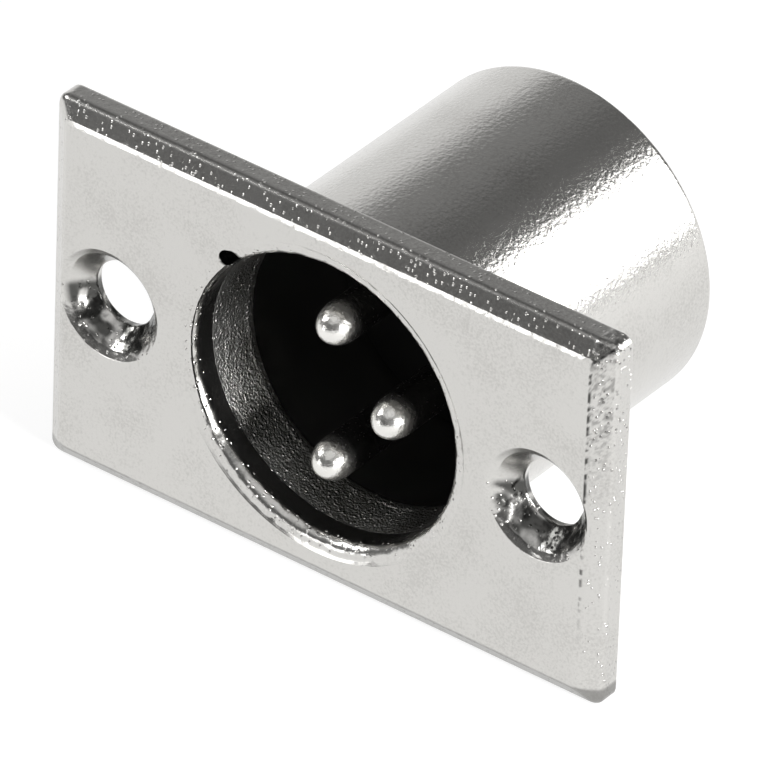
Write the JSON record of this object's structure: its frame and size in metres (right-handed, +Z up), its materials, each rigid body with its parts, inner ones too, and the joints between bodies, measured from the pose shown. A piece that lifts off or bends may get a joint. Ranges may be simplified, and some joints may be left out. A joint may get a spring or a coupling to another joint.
{
  "type": "xlr panel connector",
  "caption": "Male round panel connector: rectangular flange with countersunk fixing holes, round metal barrel, contact pins in a keyed socket and solder cups behind.",
  "frame": {"origin": "on the barrel axis, in the plane of the flange's back face, which lies on the panel", "axes": "+Z up, +Y back along the barrel through the panel, -Y out of the socket, +X along the flange to the right as seen from the front"},
  "size_m": [0.0358, 0.027, 0.0222],
  "materials": {
    "nickel_plated_zinc": "satin nickel plate on a casting",
    "black_moulding": "fine matt moulding",
    "silvered_contact": "bright silver plate",
    "tinned_strip": "tinned brass strip",
    "zinc_screw": "zinc-plated steel"
  },
  "bodies": {
    "root": {"shell": "nickel_plated_zinc", "insert": "black_moulding", "pin_1": "silvered_contact", "pin_2": "silvered_contact", "pin_3": "silvered_contact", "earth_tag": "tinned_strip", "insert_screw": "zinc_screw"}
  },
  "joints": []
}
